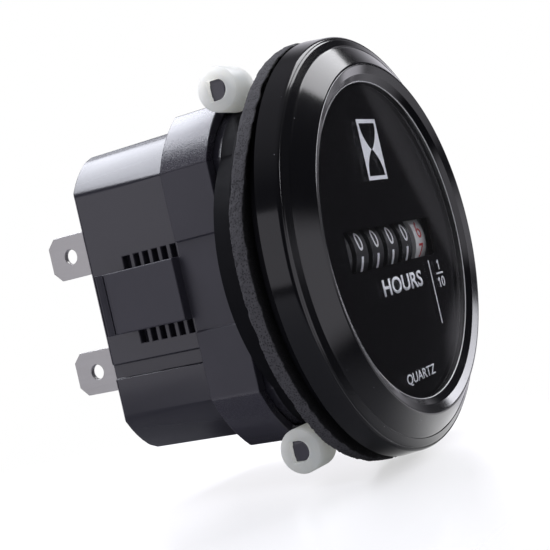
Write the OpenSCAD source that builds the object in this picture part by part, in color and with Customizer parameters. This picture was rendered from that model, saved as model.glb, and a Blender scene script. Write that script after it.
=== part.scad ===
// Panel hour meter: round bezel and dial, a six-wheel counter driven by a quartz-timed motor,
// and a ratchet clamp that slides along the flat-sided case and presses soft feet on the panel.
// X is to the right seen from the dial, Y runs from the dial to the terminals, Z is up.
// The origin is on the dial's axis, in the plane where the case's flange meets the panel.

/* [Bezel and dial] */
// How far the bezel reaches past the barrel
bezel_lap = 3.8; // [3.4:0.1:6]
// Height of the bezel's rim in front of the panel
bezel_h = 7.6; // [7.4:0.1:9]
// How far the bezel's rim reaches inside the barrel's radius
rim_lap = 3.3; // [3:0.1:5]
// Height of the lens front in front of the panel
lens_h = 6.3; // [6.1:0.1:6.5]
// Thickness of the lens
lens_t = 1.2; // [0.8:0.1:1.4]
// Thickness of the seal between lens and dial
seal_t = 0.45; // [0.3:0.05:0.6]
// Thickness of the dial plate
dial_t = 0.5; // [0.3:0.1:0.8]
// How much of each outer number wheel the dial's window hides
window_lap = 0.65; // [0.4:0.05:3]
// Height of the dial's window
window_h = 5.4; // [3:0.2:7]

/* [Case] */
// Radius of the barrel that goes through the panel
barrel_r = 25.4; // [22.8:0.1:30]
// Length of the barrel behind the panel
barrel_len = 4.5; // [4:0.1:6]
// Step from the barrel down to the round shoulder and the top of the case
shoulder_step = 3.6; // [3.2:0.1:4]
// Length of the shoulder behind the barrel
shoulder_len = 4.9; // [4.4:0.1:6]
// Step from the barrel in to the flat sides
side_step = 10.2; // [9:0.1:11]
// Height of the corner bevels
bevel_z = 6.1; // [4.5:0.1:7]
// Width of the corner bevels
bevel_x = 5.9; // [4.5:0.1:7]
// Distance from the panel to the rear wall
rear_y = 35.1; // [34:0.1:40]
// Wall thickness of the case
wall = 2; // [1.7:0.1:2.3]

/* [Panel gasket] */
// Thickness of the foam gasket
gasket_t = 2; // [1:0.1:2.2]
// How far the gasket bows away from the flange at its sides
gasket_bow = 0.2; // [0:0.1:1.6]

/* [Clamp] */
// Distance from the shoulder to the collar's front
collar_gap = 1.1; // [1:0.1:3]
// Length of the collar
collar_len = 7.8; // [6:0.1:9]
// Wall of the collar
collar_wall = 1.65; // [1.4:0.05:2]
// Length of each pawl behind the collar
pawl_len = 13.3; // [12:0.1:15]
// Half height of the pawl
pawl_z = 4.3; // [3:0.1:5]
// Radius of the soft feet
foot_r = 3.05; // [2.6:0.05:3.1]
// Length of the soft feet
foot_len = 5; // [3:0.1:5.2]
// How far the cross bar's ends stop short of the flat sides
bar_short = 0.2; // [0:0.1:2]
// How far the cross bar lies inside the barrel's radius
bar_drop = 0.95; // [0:0.05:1]
// Pitch of the ratchet ribs
rib_pitch = 1.59; // [1.2:0.01:2]

/* [Terminals] */
// Width of a blade terminal
blade_w = 6.35; // [4.8:0.05:6.4]
// Thickness of a blade terminal
blade_t = 0.8; // [0.5:0.1:0.8]
// Length of the blade behind the case
blade_len = 8; // [7:0.1:10]
// Distance between the blades' centre lines
blade_spacing = 17.26; // [16:0.02:20]
// Radius of the detent hole
blade_hole_r = 1.1; // [0.8:0.05:1.3]

/* [Counter] */
// Gap between the drums of neighbouring number wheels
drum_gap = 1.35; // [1.2:0.05:1.6]
// Radius of a number wheel's drum
drum_r = 5.4; // [5.2:0.05:5.5]
// Radius of the wheel shaft
shaft_r = 0.75; // [0.5:0.05:0.9]
// Radius of the pinion shaft
pinion_shaft_r = 0.5; // [0.4:0.05:0.6]
// Radius of the motor and train arbors
arbor_r = 0.45; // [0.35:0.05:0.5]

/* [Hidden] */
$fn = 96;

// Clearances: loose for lens, dial and case seats, sliding for the clamp, running for wheels on shafts
seat_gap = 0.1;
slide_gap = 0.1;
run_gap = 0.05;
hold_gap = 0.02;
eps = 0.01;

// Bezel section
bezel_r = barrel_r + bezel_lap;
aperture_r = barrel_r - rim_lap;
rim_out = aperture_r + 2.4;
wall_draft = 0.35;
lip_r = 0.8;
lip_y = -4.3;
cone_r = bezel_r - 2.15;
cone_y = -5.65;
ledge_t = 0.3;
lens_r = aperture_r + 1.5;
lens_back = -lens_h + lens_t;
dial_front = lens_back + seal_t;
dial_back = dial_front + dial_t;
dial_r = barrel_r - 0.2;
flange_r = barrel_r + 2.2;
flange_t = 1.6;

// Case
shoulder_r = barrel_r - shoulder_step;
shoulder_y = barrel_len + shoulder_len;
side_x = barrel_r - side_step;
top_z = shoulder_r;
side_z = top_z - bevel_z;
barrel_in = barrel_r - 1.4;
barrel_wall = 1;
barrel_floor = barrel_len - barrel_wall;
shoulder_in = shoulder_r - 1.5;
shoulder_wall = 1.4;
step_y = shoulder_y - shoulder_wall;
bevel_top_x = side_x - bevel_x;
bevel_bulge = 0.65;
bevel_steps = 6;
rear_edge = 0.6;
collar_y = shoulder_y + collar_gap;
recess_z = 6.2;
recess_y = [collar_y + 5, rear_y - 6.4];
recess_depth = 1.2;
rib_w = 0.75;
key_z = [-10.55, -8.5];
key_depth = 0.8;

// Clamp
collar_end = collar_y + collar_len;
collar_x = side_x + slide_gap + collar_wall;
collar_z = top_z + slide_gap + collar_wall;
collar_side_z = side_z;
collar_bevel_x = collar_x - 7;
channel_depth = 0.4;
pawl_x = collar_x + 0.05;
pawl_t = 1.3;
lip_h = 0.7;
lip_len = 1.9;
bar_h = 2.8;
bar_d = 2.5;
foot_inset = 0.6;
bar_x = side_x - bar_short;
bar_z = barrel_r - bar_drop;
bar_y = collar_y - foot_r - 0.1;
arm_x = bar_x + foot_inset - foot_len - 0.4;
arm_t = collar_wall;

// Terminals and circuit board
terminal_drop = 0.45;
blade_x = -(side_x - wall - 0.2);
board_t = 1;
board_x = blade_x + blade_t;
board_in = board_x + board_t;
board_y = [shoulder_y + 1.1, rear_y - wall - 0.6];
board_z = side_z - 0.5;
board_mid = (board_y[0] + board_y[1])/2;
rail_w = 0.6;
rail_z = board_z - 0.8;
blade_in_w = 4;
blade_in = 11;
blade_hole_back = 3.8;

// Parts on the circuit board, one below the other from its upper rail
part_gap = 0.3;
capacitor_r = 3;
capacitor_h = 8;
capacitor_z = rail_z - seat_gap - slide_gap - capacitor_r;
vent_w = 0.3;
vent_l = 4.4;
crystal_r = 1.5;
crystal_l = 8;
crystal_z = capacitor_z - capacitor_r - part_gap - crystal_r;
wire_r = 0.2;
wire_l = 3;
wire_space = 0.6;
chip_l = 4;
chip_w = 5;
chip_h = 1.6;
chip_lift = 0.3;
chip_z = crystal_z - crystal_r - part_gap - chip_w/2;
leg_pitch = 1.27;
leg_w = 0.4;
leg_l = 1.4;
resistor_r = 1;
resistor_l = 5.5;
resistor_pitch = 3;
resistor_z = 2.6 - board_z;

// Counter
wheels = 6;
wheel_y = dial_back + 0.8 + drum_r;
wheel_z = -0.5;
ring_t = drum_gap/2 - 0.075;
ring_teeth = 20;
pinion_teeth = 8;
pinion_mod = 0.45;
pinion_dist = (ring_teeth + pinion_teeth)/2*pinion_mod;
pinion_turn = 60;
pinion_y = wheel_y + pinion_dist*cos(pinion_turn);
pinion_z = wheel_z + pinion_dist*sin(pinion_turn);
pinion_w = drum_gap - 0.24;
disc_r = 3.6;
hub_r = 1.9;
plate_t = 1;
frame_y = [-2.6, step_y - 0.1];
frame_z = [-8.9, 9];
tie_d = 1.4;
tie_h = 2;
ear_x = 2.2;
ear_z = [4.2, 8];
frame_x = sqrt(pow(shoulder_in - run_gap, 2) - pow(ear_z[1], 2)) - ear_x - plate_t;
wheel_pitch = 2*(frame_x - 0.25)/wheels;
drum_w = wheel_pitch - drum_gap;
drum_half = drum_w/2;
window_w = wheels*wheel_pitch - 2*window_lap;
screw_r = 0.6;
screw_head_r = 1.1;
screw_head_t = 0.8;
screw_grip = 1.1;
screw_x = frame_x + plate_t + screw_head_r + hold_gap;
screw_z = (ear_z[0] + ear_z[1])/2;

// Gear train from the motor to the tenths wheel
drive_mod = 0.33;
drive_ring_teeth = 30;
drive_pinion_teeth = 10;
drive_dist = (drive_ring_teeth + drive_pinion_teeth)/2*drive_mod;
drive_turn = -103;
train_y = wheel_y + drive_dist*cos(drive_turn);
train_z = wheel_z + drive_dist*sin(drive_turn);
train_mod = 0.2;
train_teeth = 40;
rotor_teeth = 8;
train_dist = (train_teeth + rotor_teeth)/2*train_mod;
train_turn = -70.5;
rotor_y = train_y + train_dist*cos(train_turn);
rotor_z = train_z + train_dist*sin(train_turn);
train_x = frame_x + plate_t + 0.3;
train_w = 0.8;
bridge_x = train_x + train_w + 0.4;
bridge_t = 0.8;
bridge_tail = 5;
bridge_edge = 1.2;
bridge_heel = 2;
bridge_top = 0.3;
bridge_w = 2.5;
post_r = 0.8;
post_in = 1.1;
bridge_y = barrel_floor - 0.13;
motor_inset = 7.4;
motor_reach = 2;
motor_x = [motor_inset - frame_x, motor_reach];
motor_r = 4.5;
motor_wall = 0.6;
magnet_r = 2.2;
pole_r = magnet_r + 0.3;
lug_t = 1.2;
lead_r = 0.25;
lead_x = motor_x[0] + 2;
lead_y = board_y[0] + 2;
lead_rise = 2;

// Turns a profile drawn as [radius, y] about the dial's axis
module about_y() {
    rotate([-90, 0, 0])
        rotate_extrude()
            children();
}

// Draws a profile given as [x, z] and runs it along Y
module along_y(y0, y1) {
    translate([0, y1, 0])
        rotate([90, 0, 0])
            linear_extrude(y1 - y0)
                children();
}

// Draws a profile given as [y, z] and runs it along X
module along_x(x0, x1) {
    translate([x0, 0, 0])
        rotate([90, 0, 90])
            linear_extrude(x1 - x0)
                children();
}

// Draws a profile given as [x, y] and runs it along Z
module along_z(z0, z1) {
    translate([0, 0, z0])
        linear_extrude(z1 - z0)
            children();
}

// Straight round bar along X
module rod_x(r, x0, x1, y = 0, z = 0) {
    translate([x0, y, z])
        rotate([0, 90, 0])
            cylinder(r = r, h = x1 - x0);
}

// Straight round bar along Y
module rod_y(r, y0, y1, x = 0, z = 0) {
    translate([x, y0, z])
        rotate([-90, 0, 0])
            cylinder(r = r, h = y1 - y0);
}

module block(lo, hi) {
    translate(lo)
        cube(hi - lo);
}

// Left and right copies
module both_sides() {
    children();
    mirror([1, 0, 0])
        children();
}

// Upper and lower copies
module top_and_bottom() {
    children();
    mirror([0, 0, 1])
        children();
}

// Curve from one point to another that bulges to the right of the line between them
function bulged(a, b) =
    let (d = b - a, n = [d[1], -d[0]]/norm(d))
        [for (i = [0:bevel_steps]) let (t = i/bevel_steps) a + t*d + 4*t*(1 - t)*bevel_bulge*n];

// Eight-sided section with bulging bevels at its corners
module bevelled(half_x, half_z, flat_z, flat_x) {
    polygon(concat(
        bulged([half_x, flat_z], [flat_x, half_z]), bulged([-flat_x, half_z], [-half_x, flat_z]),
        bulged([-half_x, -flat_z], [-flat_x, -half_z]), bulged([flat_x, -half_z], [half_x, -flat_z])
    ));
}

// Spur gear outline with one tooth centred at the angle given
module gear(teeth, mod, turn) {
    pitch_r = teeth*mod/2;
    tip = pitch_r + 0.75*mod;
    root = pitch_r - 1.1*mod;
    step = 360/teeth;
    polygon([
        for (i = [0:teeth - 1])
            for (p = [[root, -0.27], [tip, -0.1], [tip, 0.1], [root, 0.27]])
                p[0]*[cos(turn + (i + p[1])*step), sin(turn + (i + p[1])*step)]
    ]);
}

function arc(cx, cy, r, a0, a1, n) =
    [for (i = [0:n]) [cx + r*cos(a0 + (a1 - a0)*i/n), cy + r*sin(a0 + (a1 - a0)*i/n)]];

module bezel() {
    color("#151517")
        about_y()
            polygon(concat(
                [[barrel_r + seat_gap, -flange_t - seat_gap], [bezel_r, -flange_t - seat_gap]],
                arc(bezel_r - wall_draft - lip_r, lip_y, lip_r, -8, -65, 8),
                [[cone_r, cone_y]],
                arc(rim_out - 0.35, -bezel_h + 0.35, 0.35, -50, -130, 6),
                [
                    [aperture_r, -lens_h - ledge_t], [aperture_r, -lens_h],
                    [lens_r + seat_gap, -lens_h], [lens_r + seat_gap, dial_front],
                    [barrel_r + seat_gap, dial_front]
                ]
            ));
}

module lens() {
    color("#cfd6dd", 0.4)
        rod_y(lens_r, -lens_h, lens_back);
}

module lens_seal() {
    color("#1c1c1e")
        difference() {
            rod_y(lens_r, lens_back, dial_front);
            rod_y(aperture_r + 0.2, lens_back - 1, dial_front + 1);
        }
}

module dial_plate() {
    color("#0d0d0f")
        difference() {
            rod_y(dial_r, dial_front, dial_back);
            block([-window_w/2, dial_front - 1, wheel_z - window_h/2],
                [window_w/2, dial_back + 1, wheel_z + window_h/2]);
        }
}

module case_section() {
    bevelled(side_x, top_z, side_z, bevel_top_x);
}

module case_cavity_section() {
    bevelled(side_x - wall, top_z - wall, side_z - 0.4*wall, bevel_top_x - 0.4*wall);
}

// Recess with ratchet ribs on one flat side
module ratchet_cut() {
    difference() {
        block([side_x - recess_depth, recess_y[0], -recess_z], [side_x + 1, recess_y[1], recess_z]);
        for (y = [recess_y[1] - rib_pitch : -rib_pitch : recess_y[0] + rib_w])
            block([side_x - recess_depth - 1, y - rib_w/2, -recess_z - 1], [side_x, y + rib_w/2, recess_z + 1]);
    }
}

// Rails that hold the circuit board's upper and lower edges
module board_rails() {
    intersection() {
        along_y(board_y[0], rear_y - wall + eps)
            case_section();
        top_and_bottom()
            difference() {
                block([blade_x - slide_gap - rail_w, board_y[0], rail_z], [board_in + slide_gap + rail_w, rear_y, top_z]);
                block([board_x - slide_gap, 0, 0], [board_in + slide_gap, rear_y, board_z + slide_gap]);
                block([blade_x - slide_gap - rail_w - 1, 0, 0], [board_x - slide_gap + eps, rear_y, rail_z + rail_w]);
            }
    }
}

module case() {
    color("#3b3a41")
        difference() {
            union() {
                difference() {
                    union() {
                        about_y()
                            polygon([
                                [0, dial_back], [barrel_r, dial_back], [barrel_r, -flange_t],
                                [flange_r, -flange_t], [flange_r, 0], [barrel_r, 0],
                                [barrel_r, barrel_len], [shoulder_r, barrel_len],
                                [shoulder_r, shoulder_y], [0, shoulder_y]
                            ]);
                        intersection() {
                            along_y(barrel_len - eps, rear_y)
                                case_section();
                            along_z(-top_z - 1, top_z + 1)
                                polygon([
                                    [-side_x, 0], [side_x, 0], [side_x, rear_y - rear_edge],
                                    [side_x - rear_edge, rear_y], [-side_x + rear_edge, rear_y],
                                    [-side_x, rear_y - rear_edge]
                                ]);
                            along_x(-side_x - 1, side_x + 1)
                                polygon([
                                    [0, -top_z], [rear_y - rear_edge, -top_z], [rear_y, -top_z + rear_edge],
                                    [rear_y, top_z - rear_edge], [rear_y - rear_edge, top_z], [0, top_z]
                                ]);
                        }
                    }
                    about_y()
                        polygon([
                            [0, dial_back - 1], [barrel_in, dial_back - 1], [barrel_in, barrel_floor],
                            [shoulder_in, barrel_floor], [shoulder_in, step_y], [0, step_y]
                        ]);
                    along_y(step_y - 1, rear_y - wall)
                        case_cavity_section();
                }
                board_rails();
            }
            both_sides()
                ratchet_cut();
            both_sides()
                block([side_x - key_depth, recess_y[0], key_z[0]], [side_x + 1, rear_y + 1, key_z[1]]);
            for (s = [-1, 1])
                block([blade_x - slide_gap, rear_y - wall - 1, s*blade_spacing/2 - terminal_drop - blade_w/2 - slide_gap],
                    [board_x + slide_gap, rear_y + 1, s*blade_spacing/2 - terminal_drop + blade_w/2 + slide_gap]);
            top_and_bottom()
                both_sides()
                    rod_y(screw_r + hold_gap, step_y - eps, step_y + screw_grip + seat_gap, screw_x, screw_z);
        }
}

// Foam ring that bows back from the flange at its left and right
module panel_gasket() {
    steps = 72;
    inner = barrel_r + 0.4;
    outer = bezel_r + 0.2;
    ring = [for (i = [0:steps - 1])
        let (a = 360*i/steps, y = 0.1 + gasket_bow*(1 + cos(2*a))/2)
            for (p = [[inner, 0], [outer, 0], [outer, gasket_t], [inner, gasket_t]])
                [p[0]*cos(a), y + p[1], p[0]*sin(a)]];
    color("#2b2b2e")
        polyhedron(ring, [for (i = [0:steps - 1]) for (k = [0:3])
            [4*i + k, 4*i + (k + 1) % 4, 4*((i + 1) % steps) + (k + 1) % 4, 4*((i + 1) % steps) + k]]);
}

// Half-round bar section with its flat at the back, as [y, z]
module bar_section(gap = 0) {
    h = bar_h/2 + gap;
    intersection() {
        translate([-bar_d/2 + bar_h/2, 0])
            circle(h);
        square([bar_h + bar_d, 2*h], center = true);
    }
    translate([-bar_d/2 + bar_h/2, -h])
        square([bar_d - bar_h/2 + gap, 2*h]);
}

module cross_bar(gap, half_x) {
    translate([0, bar_y, bar_z])
        along_x(-half_x, half_x)
            bar_section(gap);
}

// Spring pawl with a lifting lip, as [x, y]
module pawl_section() {
    out = pawl_x + pawl_t;
    tail = collar_end + pawl_len;
    tip = side_x + slide_gap + 0.05;
    polygon(concat(
        [[pawl_x - 1, collar_end + 0.2], [out, collar_end + 0.2], [out, tail - lip_len - 0.6]],
        arc(out + 1.6, tail - lip_len, 1.6, 180, 150, 4),
        [[out + lip_h, tail - 0.7], [out + lip_h, tail - 0.2], [out + lip_h - 0.3, tail], [pawl_x, tail]],
        [for (k = [3:-1:1]) for (p = [[pawl_x, 0.5], [tip, 0.5], [pawl_x, -0.6]])
            [p[0], collar_end + 3.2 + k*rib_pitch + p[1]]],
        [[pawl_x, collar_end + 2], [pawl_x - 1, collar_end + 1.4]]
    ));
}

module clamp() {
    color("#3d3c43") {
        difference() {
            along_y(collar_y, collar_end)
                bevelled(collar_x, collar_z, collar_side_z, collar_bevel_x);
            along_y(collar_y - 1, collar_end + 1)
                bevelled(side_x + slide_gap, top_z + slide_gap, side_z + 0.4*slide_gap, bevel_top_x + 0.4*slide_gap);
            both_sides()
                block([collar_x - channel_depth, 0, -recess_z], [collar_x + 1, rear_y, recess_z]);
        }
        both_sides() {
            along_z(-pawl_z, pawl_z)
                pawl_section();
            block([pawl_x - 1, collar_end - 1, -pawl_z], [collar_x - channel_depth, collar_end + 0.8, pawl_z]);
        }
        top_and_bottom() {
            block([-arm_x, bar_y - bar_d/2 + 0.3, top_z + slide_gap], [arm_x, collar_y + eps, collar_z]);
            block([-arm_x, bar_y - bar_d/2 + bar_h/2, top_z + slide_gap], [arm_x, bar_y + bar_d/2, bar_z]);
            cross_bar(0, bar_x);
        }
    }
}

// Soft sleeve pushed over the upper left end of the cross bar
module foot() {
    color("#dcdccf")
        difference() {
            rod_x(foot_r, -bar_x - foot_inset, -bar_x - foot_inset + foot_len, bar_y, bar_z);
            cross_bar(hold_gap, bar_x + 2);
        }
}

module foot_top_left() {
    foot();
}

module foot_top_right() {
    mirror([1, 0, 0])
        foot();
}

module foot_bottom_left() {
    mirror([0, 0, 1])
        foot();
}

module foot_bottom_right() {
    mirror([1, 0, 0])
        mirror([0, 0, 1])
            foot();
}

// Flat blade along Y, with a bevelled tip, a detent hole and a narrow tail soldered to the board
module blade(z) {
    tip = rear_y + blade_len;
    cut = 1.3;
    color("#b9b8b6")
        translate([0, 0, z])
            difference() {
                union() {
                    along_x(blade_x, board_x)
                        polygon([
                            [rear_y - wall - 0.4, -blade_w/2], [tip - cut, -blade_w/2], [tip, -blade_w/2 + cut],
                            [tip, blade_w/2 - cut], [tip - cut, blade_w/2], [rear_y - wall - 0.4, blade_w/2]
                        ]);
                    block([blade_x, rear_y - blade_in, -blade_in_w/2], [board_x, rear_y - wall, blade_in_w/2]);
                }
                rod_x(blade_hole_r, blade_x - 1, board_x + 1, tip - blade_hole_back, 0);
            }
}

module terminal_upper() {
    blade(blade_spacing/2 - terminal_drop);
}

module terminal_lower() {
    blade(-blade_spacing/2 - terminal_drop);
}

module circuit_board() {
    color("#2f5d3a")
        block([board_x, board_y[0], -board_z], [board_in, board_y[1], board_z]);
}

// Moulded chip with two rows of legs
module timer_chip() {
    legs = 4;
    color("#202022")
        translate([board_in, board_mid, chip_z]) {
            block([chip_lift, -chip_l/2, -chip_w/2], [chip_lift + chip_h, chip_l/2, chip_w/2]);
            for (k = [0:legs - 1])
                for (s = [-1, 1])
                    translate([0, s*(chip_l + leg_l)/2, (k - (legs - 1)/2)*leg_pitch])
                        block([0, -leg_l/2 - run_gap, -leg_w/2], [chip_lift + chip_h/2, leg_l/2 + run_gap, leg_w/2]);
        }
}

// Can crystal lying on the board, with two wires bent down into it
module quartz_crystal() {
    x = board_in + crystal_r;
    y = board_mid - crystal_l/2;
    color("#c4c6c8") {
        rod_y(crystal_r, y, y + crystal_l, x, crystal_z);
        for (s = [-1, 1])
            rod_y(wire_r, y - wire_l, y + eps, x, crystal_z + s*wire_space);
        for (s = [-1, 1])
            rod_x(wire_r, board_in, x + wire_r, y - wire_l, crystal_z + s*wire_space);
    }
}

// Can capacitor standing on the board, with a cross-shaped vent in its top
module capacitor() {
    color("#2a3550")
        difference() {
            rod_x(capacitor_r, board_in, board_in + capacitor_h, board_mid, capacitor_z);
            for (s = [0, 90])
                translate([board_in + capacitor_h, board_mid, capacitor_z])
                    rotate([s, 0, 0])
                        cube([2*vent_w, vent_l, vent_w], center = true);
        }
}

// Two resistors and a diode lying on the board
module resistors() {
    reach = resistor_l/2 + 1.5;
    x = board_in + resistor_r;
    color("#b79b72")
        for (k = [0:2]) {
            z = resistor_z + resistor_pitch*k;
            rod_y(resistor_r, board_mid - resistor_l/2, board_mid + resistor_l/2, x, z);
            rod_y(lead_r, board_mid - reach, board_mid + reach, x, z);
            for (s = [-1, 1])
                rod_x(lead_r, board_in, x + lead_r, board_mid + s*(reach - lead_r), z);
        }
}

// Two stiff wires from the motor's coil to the board
module coil_leads() {
    color("#b87333")
        for (up = [0, lead_rise]) {
            start = rotor_y + sqrt(pow(motor_r, 2) - pow(max(up - lead_r, 0), 2));
            rod_y(lead_r, start, lead_y + lead_r, lead_x, rotor_z + up);
            rod_x(lead_r, board_in, lead_x + lead_r, lead_y, rotor_z + up);
        }
}

// Side plate of the counter with ears that rest on the case's step
module side_plate() {
    block([frame_x, frame_y[0], frame_z[0]], [frame_x + plate_t, frame_y[1], frame_z[1]]);
    top_and_bottom()
        block([frame_x + plate_t - eps, step_y - tie_d, ear_z[0]], [frame_x + plate_t + ear_x, step_y, ear_z[1]]);
}

module counter_frame() {
    color("#8f9296")
        difference() {
            union() {
                both_sides()
                    side_plate();
                for (z = [frame_z[0], frame_z[1] - tie_h])
                    block([-frame_x - eps, frame_y[1] - tie_d, z], [frame_x + eps, frame_y[1], z + tie_h]);
                block([frame_x, frame_y[0], rotor_z - 1.8], [frame_x + plate_t, bridge_y, frame_z[0] + eps]);
                along_x(motor_x[0] - lug_t, motor_x[0])
                    polygon([
                        [frame_y[1], frame_z[0] + tie_h], [frame_y[1], frame_z[0] - 0.7],
                        [rotor_y + 2.4, rotor_z - 2.7], [rotor_y - 2.4, rotor_z - 2.7], [rotor_y - 2.4, frame_z[0] + 0.7],
                        [frame_y[1] - tie_d, frame_z[0] + 0.7], [frame_y[1] - tie_d, frame_z[0] + tie_h]
                    ]);
            }
            rod_x(shaft_r + hold_gap, -frame_x - 5, frame_x + 5, wheel_y, wheel_z);
            rod_x(pinion_shaft_r + hold_gap, -frame_x - 5, frame_x + 5, pinion_y, pinion_z);
            rod_x(arbor_r + run_gap, frame_x - 1, frame_x + 5, train_y, train_z);
            rod_x(arbor_r + run_gap, motor_x[0] - 5, frame_x + 5, rotor_y, rotor_z);
            top_and_bottom()
                both_sides()
                    rod_y(screw_r + hold_gap, 0, step_y + 1, screw_x, screw_z);
        }
}

module frame_screws() {
    color("#a9aaac")
        top_and_bottom()
            both_sides()
                difference() {
                    union() {
                        rod_y(screw_r, step_y - tie_d - eps, step_y + screw_grip, screw_x, screw_z);
                        rod_y(screw_head_r, step_y - tie_d - screw_head_t, step_y - tie_d, screw_x, screw_z);
                    }
                    translate([screw_x, step_y - tie_d - screw_head_t, screw_z])
                        cube([4, 0.6, 0.4], center = true);
                }
}

module wheel_shaft() {
    color("#c9cbcd")
        rod_x(shaft_r, -frame_x - plate_t, frame_x + plate_t, wheel_y, wheel_z);
}

module pinion_shaft() {
    color("#c9cbcd")
        rod_x(pinion_shaft_r, -frame_x - plate_t, frame_x + plate_t, pinion_y, pinion_z);
}

function wheel_x(i) = (i - (wheels - 1)/2)*wheel_pitch;

// Hollow number drum with a web and a hub
module drum() {
    rotate([0, 90, 0])
        rotate_extrude()
            polygon([
                [shaft_r + run_gap, -drum_half - ring_t], [hub_r, -drum_half - ring_t], [hub_r, drum_half - 1],
                [drum_r - 0.9, drum_half - 1], [drum_r - 0.9, -drum_half], [drum_r, -drum_half],
                [drum_r, drum_half], [shaft_r + run_gap, drum_half]
            ]);
}

// Gear ring on the right face of a drum
module gear_ring(teeth, mod, turn) {
    difference() {
        along_x(drum_half - eps, drum_half + ring_t)
            gear(teeth, mod, turn);
        rod_x(shaft_r + run_gap, 0, wheel_pitch);
    }
}

// Carry disc on the left face of a drum, with one notch for the transfer pinion
module carry_disc() {
    difference() {
        rod_x(disc_r, -drum_half - ring_t, -drum_half);
        rod_x(shaft_r + run_gap, -wheel_pitch, 0);
        along_x(-wheel_pitch, 0)
            rotate(pinion_turn)
                translate([disc_r, 0])
                    circle(0.6);
    }
}

module number_wheel(i, shade) {
    color(shade)
        translate([wheel_x(i), wheel_y, wheel_z]) {
            drum();
            if (i < wheels - 1)
                gear_ring(ring_teeth, pinion_mod, pinion_turn);
            else
                gear_ring(drive_ring_teeth, drive_mod, drive_turn);
            if (i > 0)
                carry_disc();
        }
}

module wheel_ten_thousands() {
    number_wheel(0, "#161617");
}

module wheel_thousands() {
    number_wheel(1, "#161617");
}

module wheel_hundreds() {
    number_wheel(2, "#161617");
}

module wheel_tens() {
    number_wheel(3, "#161617");
}

module wheel_units() {
    number_wheel(4, "#161617");
}

module wheel_tenths() {
    number_wheel(5, "#e6e4df");
}

// Transfer pinion in the gap to the right of a number wheel
module transfer_pinion(i) {
    x = wheel_x(i) + wheel_pitch/2;
    color("#d8d6cf")
        difference() {
            translate([0, pinion_y, pinion_z])
                along_x(x - pinion_w/2, x + pinion_w/2)
                    gear(pinion_teeth, pinion_mod, pinion_turn + 180 + 180/pinion_teeth);
            rod_x(pinion_shaft_r + run_gap, x - wheel_pitch, x + wheel_pitch, pinion_y, pinion_z);
        }
}

module transfer_pinion_1() {
    transfer_pinion(0);
}

module transfer_pinion_2() {
    transfer_pinion(1);
}

module transfer_pinion_3() {
    transfer_pinion(2);
}

module transfer_pinion_4() {
    transfer_pinion(3);
}

module transfer_pinion_5() {
    transfer_pinion(4);
}

// Gear wheel with its arbor and the pinion that drives the tenths wheel
module train_wheel() {
    face = wheel_x(wheels - 1) + drum_half;
    color("#d8d6cf")
        translate([0, train_y, train_z]) {
            along_x(face + 0.1, face + ring_t)
                gear(drive_pinion_teeth, drive_mod, drive_turn + 180 + 180/drive_pinion_teeth);
            along_x(train_x, train_x + train_w)
                gear(train_teeth, train_mod, train_turn);
            rod_x(arbor_r, face + 0.1, bridge_x + bridge_t);
        }
}

// Outer bearing plate of the train, on two posts
module train_bridge() {
    color("#8f9296")
        difference() {
            union() {
                along_x(bridge_x, bridge_x + bridge_t)
                    polygon([
                        [rotor_y - bridge_tail, rotor_z - bridge_edge], [bridge_y, rotor_z - bridge_edge],
                        [bridge_y, rotor_z + bridge_heel], [wheel_y + bridge_top, wheel_z + bridge_top],
                        [wheel_y + bridge_top - bridge_w, wheel_z + bridge_top],
                        [rotor_y - bridge_tail, rotor_z + bridge_edge]
                    ]);
                rod_x(post_r, frame_x + plate_t, bridge_x + eps, rotor_y - bridge_tail + post_in, rotor_z);
                rod_x(post_r, frame_x + plate_t, bridge_x + eps, wheel_y + bridge_top - bridge_w/2, wheel_z + bridge_top - post_in);
            }
            rod_x(arbor_r + run_gap, frame_x, bridge_x + 5, train_y, train_z);
            rod_x(arbor_r + run_gap, frame_x, bridge_x + 5, rotor_y, rotor_z);
        }
}

// Magnet, arbor and pinion of the motor
module rotor() {
    color("#55565a")
        translate([0, rotor_y, rotor_z]) {
            rod_x(magnet_r, motor_x[0] + 1.2, motor_x[1] - 1.2);
            rod_x(arbor_r, motor_x[0] - lug_t, bridge_x + bridge_t);
            along_x(train_x - 0.1, train_x + train_w + 0.1)
                gear(rotor_teeth, train_mod, train_turn + 180 + 180/rotor_teeth);
        }
}

// Steel cup with four pole fingers round the magnet
module motor_cup() {
    color("#9a9c9f")
        translate([0, rotor_y, rotor_z])
            difference() {
                rod_x(motor_r, motor_x[0], motor_x[1] - motor_wall);
                difference() {
                    rod_x(motor_r - motor_wall, motor_x[0] + motor_wall, motor_x[1]);
                    difference() {
                        rod_x(pole_r + motor_wall, motor_x[0], motor_x[1] - 1.5);
                        rod_x(pole_r, motor_x[0] - 1, motor_x[1]);
                        for (a = [0, 90])
                            rotate([a, 0, 0])
                                block([motor_x[0] + motor_wall, -2*motor_r, -1.2], [motor_x[1], 2*motor_r, 1.2]);
                    }
                }
                rod_x(arbor_r + run_gap, motor_x[0] - 1, motor_x[1]);
            }
}

module motor_cover() {
    color("#9a9c9f")
        translate([0, rotor_y, rotor_z])
            difference() {
                rod_x(motor_r, motor_x[1] - motor_wall, motor_x[1]);
                rod_x(arbor_r + run_gap, motor_x[0], motor_x[1] + 1);
            }
}

// Bobbin and winding round the pole fingers
module motor_coil() {
    color("#9c5a2c")
        translate([0, rotor_y, rotor_z])
            difference() {
                rod_x(motor_r - motor_wall - seat_gap, motor_x[0] + motor_wall + seat_gap, motor_x[1] - motor_wall - seat_gap);
                rod_x(pole_r + motor_wall + seat_gap, motor_x[0], motor_x[1]);
            }
}

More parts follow.
